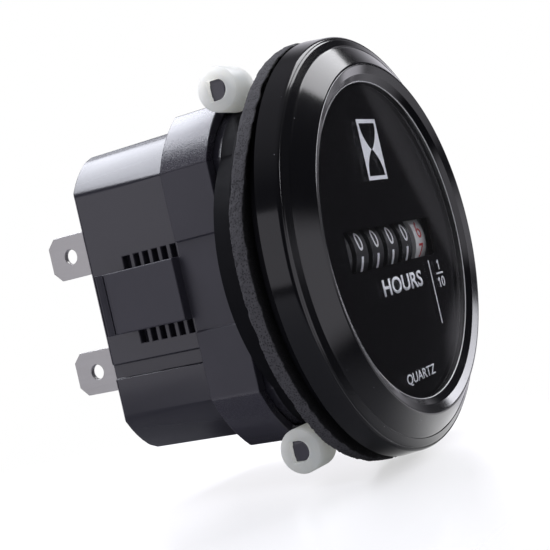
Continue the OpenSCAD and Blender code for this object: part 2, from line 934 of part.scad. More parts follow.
bezel();
lens();
lens_seal();
dial_plate();
case();
panel_gasket();
clamp();
foot_top_left();
foot_top_right();
foot_bottom_left();
foot_bottom_right();
terminal_upper();
terminal_lower();
circuit_board();
timer_chip();
quartz_crystal();
capacitor();
resistors();
coil_leads();
counter_frame();
frame_screws();
wheel_shaft();
wheel_ten_thousands();
wheel_thousands();
wheel_hundreds();
wheel_tens();
wheel_units();
wheel_tenths();
pinion_shaft();
transfer_pinion_1();
transfer_pinion_2();
transfer_pinion_3();
transfer_pinion_4();
transfer_pinion_5();
train_wheel();
train_bridge();
rotor();
motor_cup();
motor_cover();
motor_coil();
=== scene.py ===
import math

import bmesh
import bpy
from mathutils import Matrix, Vector, noise


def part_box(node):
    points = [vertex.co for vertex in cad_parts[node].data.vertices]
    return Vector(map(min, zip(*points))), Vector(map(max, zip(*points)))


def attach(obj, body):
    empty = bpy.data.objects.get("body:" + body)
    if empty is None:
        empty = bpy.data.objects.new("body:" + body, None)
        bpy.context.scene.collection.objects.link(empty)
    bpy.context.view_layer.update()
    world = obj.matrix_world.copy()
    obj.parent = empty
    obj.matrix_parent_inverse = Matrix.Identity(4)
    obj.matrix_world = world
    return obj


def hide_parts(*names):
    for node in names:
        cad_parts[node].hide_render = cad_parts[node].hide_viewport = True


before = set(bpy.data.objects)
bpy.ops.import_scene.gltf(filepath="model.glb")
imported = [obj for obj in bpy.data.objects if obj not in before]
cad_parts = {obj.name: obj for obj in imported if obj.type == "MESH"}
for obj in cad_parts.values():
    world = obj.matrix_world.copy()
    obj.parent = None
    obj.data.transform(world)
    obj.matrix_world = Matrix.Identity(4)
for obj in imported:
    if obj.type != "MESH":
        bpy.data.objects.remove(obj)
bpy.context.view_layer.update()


# The bezel is one glossy black moulding, turned in section, pressed over the case's front tube down to its flange.
# A drafted wall ends in a bead, and a land and a broad cone lead up to the rim, with an inner cone down to the lens.
mm = 0.001


def smooth_by_angle(mesh, degrees):
    for face in mesh.polygons:
        face.use_smooth = True
    mesh.set_sharp_from_angle(angle=math.radians(degrees))


def add_piece(name, mesh, finish, body):
    """An object at the origin with one finish, carried by the given body."""
    piece = bpy.data.objects.new(name, mesh)
    bpy.context.scene.collection.objects.link(piece)
    mesh.materials.clear()
    mesh.materials.append(finish)
    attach(piece, body)
    return piece


def skin_rings(shape, rings):
    """Quads between closed rings of vertices, with the last ring joined to the first."""
    for here, there in zip(rings, rings[1:] + rings[:1]):
        for i in range(len(here)):
            j = (i + 1) % len(here)
            shape.faces.new((here[i], here[j], there[j], there[i]))


def turned(name, section, steps, degrees):
    """Mesh of a closed section, given as radius and y in millimetres, turned about the dial's axis.
    A ring near each end of a long stretch keeps it flat up to its corners."""
    long_stretch, from_corner = 0.5, 0.05
    held = []
    for (r0, y0), (r1, y1) in zip(section, section[1:] + section[:1]):
        held.append((r0, y0))
        long = math.hypot(r1 - r0, y1 - y0)
        if long > long_stretch:
            held += [(r0 + (r1 - r0)*t, y0 + (y1 - y0)*t) for t in (from_corner/long, 1 - from_corner/long)]
    shape = bmesh.new()
    rings = []
    for k in range(steps):
        a = 2*math.pi*k/steps
        rings.append([shape.verts.new((r*math.cos(a)*mm, y*mm, r*math.sin(a)*mm)) for r, y in held])
    skin_rings(shape, rings)
    bmesh.ops.remove_doubles(shape, verts=shape.verts, dist=1e-7)
    bmesh.ops.recalc_face_normals(shape, faces=shape.faces)
    mesh = bpy.data.meshes.new(name)
    shape.to_mesh(mesh)
    shape.free()
    smooth_by_angle(mesh, degrees)
    return mesh


def bend(cx, cy, r, a0, a1, n):
    """Points on an arc from one angle to another, in degrees."""
    angles = [math.radians(a0 + (a1 - a0)*i/n) for i in range(n + 1)]
    return [(cx + r*math.cos(a), cy + r*math.sin(a)) for a in angles]


class Wire:
    """A shader socket that takes part in Python sums. Each sum adds a Math node."""

    def __init__(self, tree, socket=None):
        self.tree = tree
        self.socket = socket

    def node(self, kind, settings=None, links=None, out=0):
        """Adds a node, sets its settings, then its sockets' values or links, and gives one of its outputs."""
        made = self.tree.nodes.new(kind)
        for name, value in (settings or {}).items():
            setattr(made, name, value)
        for name, value in (links or {}).items():
            if isinstance(value, Wire):
                self.tree.links.new(value.socket, made.inputs[name])
            else:
                made.inputs[name].default_value = value
        return Wire(self.tree, made.outputs[out]) if len(made.outputs) else None

    def math(self, operation, a, b=0.0):
        return self.node("ShaderNodeMath", {"operation": operation}, {0: a, 1: b})

    def __add__(self, other):
        return self.math("ADD", self, other)

    def __radd__(self, other):
        return self.math("ADD", other, self)

    def __sub__(self, other):
        return self.math("SUBTRACT", self, other)

    def __rsub__(self, other):
        return self.math("SUBTRACT", other, self)

    def __mul__(self, other):
        return self.math("MULTIPLY", self, other)

    def __rmul__(self, other):
        return self.math("MULTIPLY", other, self)

    def __truediv__(self, other):
        return self.math("DIVIDE", self, other)

    def __gt__(self, other):
        return self.math("GREATER_THAN", self, other)

    def __lt__(self, other):
        return self.math("LESS_THAN", self, other)

    def between(self, low, high):
        """A soft step from 0 at low to 1 at high."""
        return self.node("ShaderNodeMapRange", {"interpolation_type": "SMOOTHSTEP"},
                         {"Value": self, "From Min": low, "From Max": high})

    def tint(self, dark, light):
        return self.node("ShaderNodeMix", {"data_type": "RGBA"}, {0: self, 6: (*dark, 1), 7: (*light, 1)}, 2)

    def place(self, stretch=(1, 1, 1)):
        spot = self.node("ShaderNodeTexCoord", out="Object")
        if tuple(stretch) == (1, 1, 1):
            return spot
        return self.node("ShaderNodeMapping", {}, {"Vector": spot, "Scale": stretch})

    def axis(self, name):
        """The place along X, Y or Z, in millimetres."""
        return self.node("ShaderNodeSeparateXYZ", {}, {"Vector": self.place()}, name)/mm

    def grain(self, size_mm, detail=3.0, stretch=(1, 1, 1), rough=0.5):
        return self.node("ShaderNodeTexNoise", {}, {"Vector": self.place(stretch), "Scale": 1/(size_mm*mm),
                                                     "Detail": detail, "Roughness": rough})

    def cells(self, size_mm):
        return self.node("ShaderNodeTexVoronoi", {}, {"Vector": self.place(), "Scale": 1/(size_mm*mm)})

    def relief(self, height, strength, depth_mm):
        return self.node("ShaderNodeBump", {}, {"Height": height, "Strength": strength, "Distance": depth_mm*mm})

    def skin(self, **sockets):
        names = {"color": "Base Color", "rough": "Roughness", "metal": "Metallic", "normal": "Normal", "ior": "IOR",
                 "clear": "Transmission Weight", "soft": "Subsurface Weight", "reach": "Subsurface Radius",
                 "scale": "Subsurface Scale", "gloss": "Specular IOR Level", "glow": "Emission Color",
                 "glow_by": "Emission Strength"}
        return self.node("ShaderNodeBsdfPrincipled", {}, {names[k]: v for k, v in sockets.items()})

    def show(self, shader):
        self.node("ShaderNodeOutputMaterial", {}, {"Surface": shader})

    def coat(self, **sockets):
        self.show(self.skin(**sockets))


def new_finish(name):
    finish = bpy.data.materials.new(name)
    finish.use_nodes = True
    finish.node_tree.nodes.clear()
    return finish, Wire(finish.node_tree)


bezel_gloss, w = new_finish("bezel_gloss")
smudge = w.grain(14, 5)
dust = (w.cells(1.7) < 0.045)*(w.grain(4, 2) > 0.55)
peel = w.grain(1.1, 2) + w.grain(4.5, 2)*1.5
w.coat(color=(dust*0.5).tint((0.0075, 0.0075, 0.009), (0.22, 0.22, 0.24)),
       rough=0.06 + smudge*0.12 + dust*0.3,
       normal=w.relief(peel, 0.10, 0.02))

lens_front, lens_back, opening_r = -6.3, -5.1, 22.1
wall_foot = [(25.5, -1.7), (29.16, -1.7), (29.195, -1.74)]
bead = bend(28.05, -4.3, 0.8, -8, -52, 12)
bead_groove = [(28.47, -4.86), (28.40, -4.88), (28.24, -5.06)]
cone_groove = [(27.30, -5.50), (27.22, -5.45), (27.15, -5.49), (27.02, -5.64)]
crest = bend(24.15, -6.92, 0.6, -52, -95, 12)
inner_cone = [(22.95, -7.07), (22.2, -6.46), (opening_r, -6.41)]
lens_seat = [(opening_r, lens_front), (23.7, lens_front), (23.7, -4.65), (25.5, -4.65)]
bezel_section = wall_foot + bead + bead_groove + cone_groove + crest + inner_cone + lens_seat
bezel = add_piece("bezel_moulding", turned("bezel_moulding", bezel_section, 256, 32), bezel_gloss, "housing")
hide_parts("bezel")


# The lens is a disc of clear sheet pressed up under the bezel's ledge.
# Where it meets the bezel, a pale ring is a painted highlight for the light its polished edge catches.
lens_clear, w = new_finish("lens_clear")
w.coat(color=(0.97, 0.98, 1.0, 1), clear=1.0, ior=1.49, rough=w.grain(18, 4)*0.012)
lens_section = [(0.0, lens_front), (23.45, lens_front), (23.6, -6.15),
                (23.6, -5.2), (23.5, lens_back), (0.0, lens_back)]
lens = add_piece("lens_disc", turned("lens_disc", lens_section, 192, 30), lens_clear, "housing")
lens.visible_shadow = False
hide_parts("lens")

# The ring's pale colour is a painted highlight.
lens_edge_painted_highlight, w = new_finish("lens_edge_painted_highlight")
w.coat(color=w.grain(5, 3).tint((0.62, 0.62, 0.63), (0.88, 0.88, 0.90)), rough=0.22 + w.grain(1, 2)*0.2)
edge_foot, edge_top = -6.305, -6.41
edge_section = [(22.0, edge_foot), (opening_r, edge_foot), (opening_r, edge_top), (22.05, edge_top)]
lens_edge = add_piece("lens_edge", turned("lens_edge", edge_section, 256, 40), lens_edge_painted_highlight, "housing")


# A flat rubber ring keeps the lens off the dial and dust out of it.
# It is punched from sheet and shows only as a dark line at the lens's edge.
def dress(node, finish):
    """Gives a CAD node that is shown as it is its finish."""
    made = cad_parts[node]
    if made.material_slots:
        for slot in made.material_slots:
            slot.material = finish
    else:
        made.data.materials.append(finish)


seal_rubber, w = new_finish("seal_rubber")
w.coat(color=w.grain(0.6, 4).tint((0.012, 0.012, 0.013), (0.026, 0.026, 0.028)), rough=0.7 + w.grain(0.3, 2)*0.2,
       normal=w.relief(w.grain(0.2, 3), 0.2, 0.02))
dress("lens_seal", seal_rubber)


# The dial is a thin plate, sprayed gloss black, with a window over the counter.
# Its marks are screen printed in white: a sand-glass sign, the unit, a ruled line and the fraction.
dial_gloss, w = new_finish("dial_gloss")
w.coat(color=w.grain(9, 4).tint((0.0022, 0.0021, 0.0026), (0.004, 0.0037, 0.0045)), rough=0.04 + w.grain(6, 4)*0.04,
       gloss=0.2, normal=w.relief(w.grain(0.5, 3), 0.05, 0.01))
dress("dial_plate", dial_gloss)

print_white, w = new_finish("print_white")
w.coat(color=w.grain(0.5, 4).tint((0.84, 0.84, 0.87), (0.93, 0.93, 0.96)), rough=0.45 + w.grain(0.3, 2)*0.15,
       normal=w.relief(w.grain(0.12, 2), 0.1, 0.005))

dial_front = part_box("dial_plate")[0][1]
print_thick = 0.02*mm


def flat_letters(words, bold=0.0):
    """Mesh of words in the plane of the paper, with its lowest corner at the origin and its own width and height."""
    curve = bpy.data.curves.new("words", "FONT")
    curve.body = words
    curve.size = 1.0
    curve.offset = bold
    curve.resolution_u = 8
    holder = bpy.data.objects.new("words", curve)
    bpy.context.scene.collection.objects.link(holder)
    graph = bpy.context.evaluated_depsgraph_get()
    mesh = bpy.data.meshes.new_from_object(holder.evaluated_get(graph))
    bpy.data.objects.remove(holder)
    bpy.data.curves.remove(curve)
    low = [min(v.co[k] for v in mesh.vertices) for k in (0, 1)]
    high = [max(v.co[k] for v in mesh.vertices) for k in (0, 1)]
    for v in mesh.vertices:
        v.co = (v.co[0] - low[0], v.co[1] - low[1], 0)
    return mesh, high[0] - low[0], high[1] - low[1]


def solid_print(shape, thick):
    """Gives the flat faces of a bmesh a thin body along +Z."""
    bmesh.ops.remove_doubles(shape, verts=shape.verts, dist=1e-8)
    bmesh.ops.recalc_face_normals(shape, faces=shape.faces)
    for face in shape.faces:
        if face.normal.z < 0:
            face.normal_flip()
    raised = bmesh.ops.extrude_face_region(shape, geom=list(shape.faces))
    corners = [v for v in raised["geom"] if isinstance(v, bmesh.types.BMVert)]
    bmesh.ops.translate(shape, vec=(0, 0, thick), verts=corners)
    bmesh.ops.recalc_face_normals(shape, faces=shape.faces)


def on_dial(name, shape):
    """Turns a bmesh drawn as x, z in metres into a printed mesh on the dial's front."""
    solid_print(shape, print_thick)
    for v in shape.verts:
        v.co = (v.co.x, dial_front - v.co.z, v.co.y)
    mesh = bpy.data.meshes.new(name)
    shape.to_mesh(mesh)
    shape.free()
    return mesh


def words_in_box(words, x0, x1, z0, z1, bold):
    """Bmesh of words that fills a box on the dial, in millimetres."""
    mesh, wide, high = flat_letters(words, bold)
    shape = bmesh.new()
    shape.from_mesh(mesh)
    bpy.data.meshes.remove(mesh)
    for v in shape.verts:
        v.co = ((x0 + v.co.x/wide*(x1 - x0))*mm, (z0 + v.co.y/high*(z1 - z0))*mm, 0)
    return shape


def patch(shape, points):
    shape.faces.new([shape.verts.new((x*mm, z*mm, 0)) for x, z in points])


def bar(shape, x0, x1, z0, z1):
    patch(shape, ((x0, z0), (x1, z0), (x1, z1), (x0, z1)))


def printed(name, shape):
    mark = add_piece(name, on_dial(name, shape), print_white, "housing")


printed("dial_unit_word", words_in_box("HOURS", -6.5, 6.9, -7.25, -4.95, 0.02))
printed("dial_movement_word", words_in_box("QUARTZ", -5.6, 4.2, -19.75, -18.1, 0.01))
printed("dial_nought", words_in_box("0", 13.75, 14.95, -8.2, -6.7, 0.01))
rules = bmesh.new()
stroke, one_high, flag = 0.27, 1.45, 0.4
for x, z in ((13.72, -5.65), (12.95, -8.2)):
    top = z + one_high
    bar(rules, x, x + stroke, z, top)
    patch(rules, ((x, top), (x - flag, top - 0.32), (x - flag, top - 0.52), (x, top - stroke)))
bar(rules, 10.35, 10.35 + stroke, -13.25, -3.95)
bar(rules, 12.45, 14.95, -6.28, -6.05)
printed("dial_rules", rules)

glass = bmesh.new()
glass_x, glass_z0, glass_z1, glass_bar, glass_wall, waist = 3.05, 8.5, 17.0, 0.55, 0.55, 0.14
glass_steps, glass_belly = 36, 0.85
bar(glass, -glass_x, glass_x, glass_z0, glass_z0 + glass_bar)
bar(glass, -glass_x, glass_x, glass_z1 - glass_bar, glass_z1)
middle, half = (glass_z0 + glass_z1)/2, (glass_z1 - glass_z0)/2 - glass_bar
outline = []
for k in range(glass_steps + 1):
    t = -1 + 2*k/glass_steps
    reach = waist + (glass_x - glass_wall - waist)*math.sin(math.pi/2*abs(t)**glass_belly)
    outline.append((reach, middle + half*t))
for side in (-1, 1):
    for (x0, z0), (x1, z1) in zip(outline, outline[1:]):
        patch(glass, ((side*x0, z0), (side*glass_x, z0), (side*glass_x, z1), (side*x1, z1)))
printed("dial_sand_glass", glass)


# The case is one satin dark grey moulding: tube, flange, barrel, shoulder and the flat-sided body.
# Ratchet ribs stand in a recess on each flat side, and a keyway runs back to the rear wall.
# The neck in front of the flat sides, where the panel sits, is rougher and painted darker, as painted shade for the
# clamp's shade there.
def eased(name, node, width, split=12, soft_edge=None):
    """Copy of a CAD node's mesh with its loose triangles joined and its edges rounded as in a mould.
    The rounding's own faces are weak, so that the broad faces beside them stay flat.
    Edges that soft_edge picks get the whole width, and others half of it. Edges beside a very short one stay sharp."""
    sharp_from, flat_within, short = math.radians(20), math.radians(0.4), 0.45*width*mm
    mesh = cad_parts[node].data.copy()
    mesh.name = name
    shape = bmesh.new()
    shape.from_mesh(mesh)
    bmesh.ops.remove_doubles(shape, verts=shape.verts, dist=2e-7)
    bmesh.ops.dissolve_limit(shape, angle_limit=flat_within, verts=shape.verts, edges=shape.edges)
    rounded = shape.edges.layers.float.new("bevel_weight_edge")
    for edge in shape.edges:
        shortest = min(e.calc_length() for v in edge.verts for e in v.link_edges)
        sharp = edge.calc_face_angle(0.0) > sharp_from
        if sharp and shortest > short:
            centre = (edge.verts[0].co + edge.verts[1].co)/2/mm
            edge[rounded] = 1.0 if soft_edge and soft_edge(centre, edge.calc_length()/mm) else 0.5
        edge.smooth = not sharp or edge[rounded] > 0
    bmesh.ops.triangulate(shape, faces=[f for f in shape.faces if len(f.verts) > split])
    for face in shape.faces:
        face.smooth = True
    shape.to_mesh(mesh)
    shape.free()
    holder = bpy.data.objects.new(name, mesh)
    bpy.context.scene.collection.objects.link(holder)
    round_off = holder.modifiers.new("round_off", "BEVEL")
    round_off.width = width*mm
    round_off.segments = 2
    round_off.limit_method = "WEIGHT"
    round_off.use_clamp_overlap = False
    round_off.face_strength_mode = "FSTR_AFFECTED"
    settle = holder.modifiers.new("settle", "WEIGHTED_NORMAL")
    settle.use_face_influence = True
    settle.keep_sharp = True
    graph = bpy.context.evaluated_depsgraph_get()
    done = bpy.data.meshes.new_from_object(holder.evaluated_get(graph))
    done.name = name
    bpy.data.objects.remove(holder)
    bpy.data.meshes.remove(mesh)
    return done


case_satin, w = new_finish("case_satin")
cloud = w.grain(11, 4)
fine = w.relief(w.grain(0.22, 3), 0.08, 0.02)
satin = w.skin(color=cloud.tint((0.026, 0.025, 0.034), (0.034, 0.032, 0.045)),
               rough=0.17 + cloud*0.06 + w.grain(0.4, 2)*0.05, ior=1.6, normal=fine)
# Rougher, and painted darker as painted shade.
dull_painted_shade = w.skin(color=cloud.tint((0.005, 0.005, 0.007), (0.010, 0.010, 0.013)),
              rough=0.5 + w.grain(2, 3)*0.2, gloss=0.12, normal=fine)
neck_end = 9.35
neck = w.axis("Y") < neck_end
w.show(w.node("ShaderNodeMixShader", {}, {0: neck, 1: satin, 2: dull_painted_shade}))
case = add_piece("case_moulding", eased("case_moulding", "case", 0.32), case_satin, "housing")
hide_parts("case")


# The panel gasket is a ring punched from open-cell foam sheet, so its cut edge is ragged.
# It lies loose round the barrel, and its rim curls forward at the upper left.
foam_black, w = new_finish("foam_black")
pores = w.cells(0.26)
lumps = w.grain(0.35, 5, rough=0.7)
patches = w.grain(3.5, 3)
torn_open = (lumps*pores*1.3 + patches*0.25).between(0.10, 0.50)
# The foam's front face, in the narrow gap behind the bezel, is painted near black as painted shade for that gap.
skin = w.node("ShaderNodeAttribute", {"attribute_name": "front_face_painted_shade"}, out="Fac")
w.coat(color=(torn_open*(1 - skin)).tint((0.006, 0.006, 0.007), (0.085, 0.083, 0.092)),
       rough=0.84 + lumps*0.12, normal=w.relief(lumps*0.6 + pores*0.5, 0.8, 0.16))

gasket_in, gasket_out, gasket_thick, gasket_bow, gasket_front = 25.8, 29.4, 2.0, 0.2, 0.1
around, corner = 720, 0.28
face_wide = gasket_out - gasket_in - 2*corner
across = (
    [(gasket_in + corner + face_wide*k/6, 0.0) for k in range(7)]
    + bend(gasket_out - corner, corner, corner, -60, 0, 2)
    + [(gasket_out, corner + (gasket_thick - 2*corner)*k/4) for k in range(1, 4)]
    + bend(gasket_out - corner, gasket_thick - corner, corner, 0, 90, 3)
    + [(gasket_out - corner - face_wide*k/6, gasket_thick) for k in range(1, 7)]
    + [(gasket_in, gasket_thick - corner), (gasket_in, corner)]
)


def part_way(value, start, end):
    return min(max((value - start)/(end - start), 0.0), 1.0)


def foam_point(a, r, y):
    """Place of a point of the ring's section at an angle, in millimetres, torn, waved and curled."""
    turn = math.degrees(a)
    spot = Vector((r*math.cos(a), y*2.0, r*math.sin(a)))
    out = (r - gasket_in)/(gasket_out - gasket_in)
    big_tear = max(0.0, noise.noise(spot*0.55) - 0.05)*0.55
    small_tear = max(0.0, noise.noise(spot*1.9 + Vector((7, 3, 1))))*0.30
    wave = noise.noise(Vector((math.cos(a)*2.6, math.sin(a)*2.6, 4.0)))*0.16
    fleck = noise.noise(spot*3.1 + Vector((1, 8, 2)))*0.07
    depth = min(max(y + fleck*(0.3 + out) + wave*out*(1 if y > 1 else 0.6), 0.0), gasket_thick)
    curl = part_way(turn, 94, 108)*part_way(turn, 172, 142)
    curl = curl*curl*(3 - 2*curl)*part_way(r, 27.9, 29.2)
    forward = curl*(1.45 + 0.4*noise.noise(Vector((turn*0.21, 0.3, 2.0))))
    lift = gasket_front + gasket_bow*(1 + math.cos(2*a))/2
    reach = r - (big_tear + small_tear)*out*(1 - 0.6*curl)
    bezel_back = -1.6
    return Vector((reach*math.cos(a), max(lift + depth - forward, bezel_back), reach*math.sin(a)))


shape = bmesh.new()
gasket_rings = []
for k in range(around):
    gasket_rings.append([shape.verts.new(foam_point(2*math.pi*k/around, r, y)*mm) for r, y in across])
skin_rings(shape, gasket_rings)
bmesh.ops.recalc_face_normals(shape, faces=shape.faces)
gasket_mesh = bpy.data.meshes.new("foam_gasket")
shape.to_mesh(gasket_mesh)
shape.free()
# Marks the foam's front face, which gets the painted shade.
front_face_painted_shade = gasket_mesh.attributes.new("front_face_painted_shade", "FLOAT", "POINT")
for k in range(around):
    for i, (r, y) in enumerate(across):
        front_face_painted_shade.data[k*len(across) + i].value = 1.0 if y < 0.2 and r < gasket_out - 0.1 else 0.0
smooth_by_angle(gasket_mesh, 60)
gasket = add_piece("foam_gasket", gasket_mesh, foam_black, "housing")
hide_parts("panel_gasket")


# The clamp is a dark grey moulding that slides along the case: a collar with two sprung pawls and two cross bars.
# Its mould was spark eroded, so the bevels carry a fine sparkling grain.
clamp_grain, w = new_finish("clamp_grain")
cloud = w.grain(9, 4)
speckle = w.grain(0.2, 2, rough=0.6)
rise = w.math("ABSOLUTE", w.axis("Z"))
on_bevel = rise.between(15.2, 15.8)
bevel_foot, bevel_high = 15.5, 6.0
up = w.math("MINIMUM", w.math("MAXIMUM", (rise - bevel_foot)/bevel_high, 0.0), 1.0)
hollow = (up - up*up*0.5)*2.0
sparkle = (speckle > 0.53)*(1 - up)
w.coat(color=cloud.tint((0.040, 0.038, 0.052), (0.056, 0.053, 0.072)),
       rough=0.50 - on_bevel*(0.36 - sparkle*0.34), ior=1.6,
       normal=w.relief(hollow + speckle*(0.01 + on_bevel*(1 - up)*0.07), 1.0, 1.0))


def pawl_edge(middle, long):
    """Whether an edge, by its middle and length in millimetres, is one of a pawl's own."""
    return abs(middle.x) > 16.9 and abs(middle.z) < 4.5 and middle.y > 19 and long > 2


clamp = add_piece("clamp_moulding", eased("clamp_moulding", "clamp", 0.34, soft_edge=pawl_edge), clamp_grain, "clamp")
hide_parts("clamp")


# Soft sleeves of milky plastic are pushed over the ends of the cross bars, and press on the back of the panel.
# Each has a hole shaped to the half-round bar, and the bar's end stands a little way inside it.
sleeve_milky, w = new_finish("sleeve_milky")
haze = w.grain(3.5, 4)
milk = haze.tint((0.74, 0.79, 0.76), (0.82, 0.80, 0.68))
# The sleeves also glow a little in their own colour: painted light that lifts their shaded sides.
w.coat(color=milk, glow=milk, glow_by=0.17, rough=0.34 + w.grain(1.2, 3)*0.16, soft=1.0,
       reach=(1.0, 0.95, 0.85), scale=0.015, normal=w.relief(w.grain(1.4, 4), 0.15, 0.05))


def bar_reach(a, gap=0.02):
    """Distance from the bar's middle to its half-round outline, with the flat at the back."""
    half, flat, middle = 1.4 + gap, 1.25 + gap, 0.15
    cy, cz = math.cos(a), math.sin(a)
    reach = half/max(abs(cz), 1e-9)
    if cy > 0:
        reach = min(reach, flat/cy)
    b, c = -2*middle*cy, middle*middle - half*half
    round_reach = (-b + math.sqrt(b*b - 4*c))/2
    if round_reach*cy < middle:
        reach = min(reach, round_reach)
    return reach


def sleeve(name, node):
    low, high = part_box(node)
    cy, cz = (low[1] + high[1])/2, (low[2] + high[2])/2
    x0, x1 = low[0], high[0]
    r = (high[1] - low[1])/2
    ease, shy, mouth_deep, mouth_flare = 0.3*mm, 0.09*mm, 0.25*mm, 0.12
    steps = 96
    shape = bmesh.new()

    def ring(x, reach):
        angles = [2*math.pi*k/steps for k in range(steps)]
        return [shape.verts.new((x, cy + reach(a)*math.cos(a), cz + reach(a)*math.sin(a))) for a in angles]

    rings = []
    for x, cut in ((x0, ease), (x0 + shy, ease*0.3), (x0 + ease, 0.0),
                   (x1 - ease, 0.0), (x1 - shy, ease*0.3), (x1, ease)):
        rings.append(ring(x, lambda a: r - cut))
    for x, flare in ((x1, mouth_flare), (x1 - mouth_deep, 0.0), (x0 + mouth_deep, 0.0), (x0, mouth_flare)):
        rings.append(ring(x, lambda a: (bar_reach(a) + flare)*mm))
    skin_rings(shape, rings)
    bmesh.ops.recalc_face_normals(shape, faces=shape.faces)
    mesh = bpy.data.meshes.new(name)
    shape.to_mesh(mesh)
    shape.free()
    smooth_by_angle(mesh, 40)
    piece = add_piece(name, mesh, sleeve_milky, "clamp")
    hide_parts(node)


for level in ("top", "bottom"):
    for hand in ("left", "right"):
        sleeve("sleeve_%s_%s" % (level, hand), "foot_%s_%s" % (level, hand))


# The blade terminals are stamped from brass strip and tinned, with cropped corners and a detent hole.
# Handling has left fine scratches across the tin.
tinned, w = new_finish("tinned")
rolled = w.grain(1.2, 4, (1, 0.12, 1))
scratch = (w.grain(0.5, 2, (1, 1, 0.06)) > 0.66)*(w.grain(2.5, 2) > 0.5)
w.coat(color=(rolled*0.8 + scratch*0.2).tint((0.52, 0.51, 0.50), (0.76, 0.75, 0.74)), metal=1.0,
       rough=0.36 + rolled*0.14 - scratch*0.08, normal=w.relief(rolled*0.5 + scratch*0.5, 0.12, 0.02))
for node in ("terminal_upper", "terminal_lower"):
    blade = add_piece(node + "_blade", eased(node + "_blade", node, 0.2, split=99), tinned, "housing")
    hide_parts(node)


# The number wheels are black mouldings with printed white digits, and the tenths wheel is white with red ones.
# All turn on one steel shaft behind the dial's window, and the figure nought stands a little high.
drum_black, w = new_finish("drum_black")
w.coat(color=w.grain(2, 4).tint((0.003, 0.003, 0.004), (0.007, 0.007, 0.008)), rough=0.42 + w.grain(1, 3)*0.14,
       gloss=0.2, normal=w.relief(w.grain(0.3, 3), 0.15, 0.02))
drum_white, w = new_finish("drum_white")
w.coat(color=w.grain(2, 4).tint((0.70, 0.69, 0.68), (0.80, 0.79, 0.78)), rough=0.40 + w.grain(1, 3)*0.14,
       normal=w.relief(w.grain(0.3, 3), 0.15, 0.02))
print_red, w = new_finish("print_red")
w.coat(color=w.grain(0.5, 4).tint((0.50, 0.015, 0.02), (0.66, 0.03, 0.035)), rough=0.45 + w.grain(0.3, 2)*0.15)

shaft_low, shaft_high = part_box("wheel_shaft")
axle_y, axle_z = (shaft_low[1] + shaft_high[1])/2, (shaft_low[2] + shaft_high[2])/2
figure_turn, figure_wide, figure_high = math.radians(13.6), 1.55*mm, 2.6*mm
figure_slices, figure_thick, figure_proud, one_share = 10, 0.015*mm, 0.004*mm, 0.4


def figures(name, wheel, finish, first):
    """Ten printed digits wrapped round a drum, each a tenth of a turn below the one before."""
    low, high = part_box(wheel)
    drum_r = (high[2] - low[2])/2
    middle = (low[0] + high[0])/2
    whole = bmesh.new()
    for digit in range(10):
        mesh, wide, tall = flat_letters(str(digit))
        shape = bmesh.new()
        shape.from_mesh(mesh)
        bpy.data.meshes.remove(mesh)
        across = figure_wide if digit != 1 else one_share*figure_wide
        for v in shape.verts:
            v.co = ((v.co.x/wide - 0.5)*across, (v.co.y/tall - 0.5)*figure_high, 0)
        for k in range(1, figure_slices):
            level = (k/figure_slices - 0.5)*figure_high
            bmesh.ops.bisect_plane(shape, geom=shape.verts[:] + shape.edges[:] + shape.faces[:],
                                   plane_co=(0, level, 0), plane_no=(0, 1, 0))
        solid_print(shape, figure_thick)
        turn = figure_turn - math.radians(36)*((digit - first) % 10)
        for v in shape.verts:
            a = turn + v.co.y/drum_r
            r = drum_r + figure_proud + v.co.z
            v.co = (middle + v.co.x, axle_y - r*math.cos(a), axle_z + r*math.sin(a))
        step = bpy.data.meshes.new("step")
        shape.to_mesh(step)
        shape.free()
        whole.from_mesh(step)
        bpy.data.meshes.remove(step)
    mesh = bpy.data.meshes.new(name)
    whole.to_mesh(mesh)
    whole.free()
    piece = add_piece(name, mesh, finish, wheel)


for wheel in ("wheel_ten_thousands", "wheel_thousands", "wheel_hundreds", "wheel_tens", "wheel_units"):
    dress(wheel, drum_black)
    figures(wheel.replace("wheel", "figures"), wheel, print_white, 0)
dress("wheel_tenths", drum_white)
figures("figures_tenths", "wheel_tenths", print_red, 6)


# Shafts, screws, motor cup and crystal can are bright steel, drawn or pressed.
# The screws hold the counter's frame to the case's step, and the shafts are held in its side plates.
bright_steel, w = new_finish("bright_steel")
drawn = w.grain(0.8, 3, (0.06, 1, 1))
w.coat(color=drawn.tint((0.46, 0.47, 0.48), (0.62, 0.63, 0.64)), metal=1.0, rough=0.22 + drawn*0.16,
       normal=w.relief(drawn, 0.08, 0.01))
for node in ("wheel_shaft", "pinion_shaft", "frame_screws", "motor_cup", "motor_cover", "quartz_crystal"):
    dress(node, bright_steel)


# The counter's frame and the train's bridge are stamped from aluminium sheet.
# Pinions and train wheel are moulded in natural acetal.
stamped, w = new_finish("stamped")
sheet = w.grain(1.5, 4, (1, 0.15, 1))
w.coat(color=sheet.tint((0.42, 0.43, 0.45), (0.56, 0.57, 0.59)), metal=1.0, rough=0.32 + sheet*0.18,
       normal=w.relief(sheet, 0.1, 0.02))
for node in ("counter_frame", "train_bridge"):
    dress(node, stamped)
acetal, w = new_finish("acetal")
w.coat(color=w.grain(1.5, 4).tint((0.66, 0.65, 0.60), (0.74, 0.73, 0.69)), rough=0.34 + w.grain(0.6, 3)*0.12,
       normal=w.relief(w.grain(0.3, 3), 0.1, 0.01))
for node in ["transfer_pinion_%d" % k for k in range(1, 6)] + ["train_wheel"]:
    dress(node, acetal)


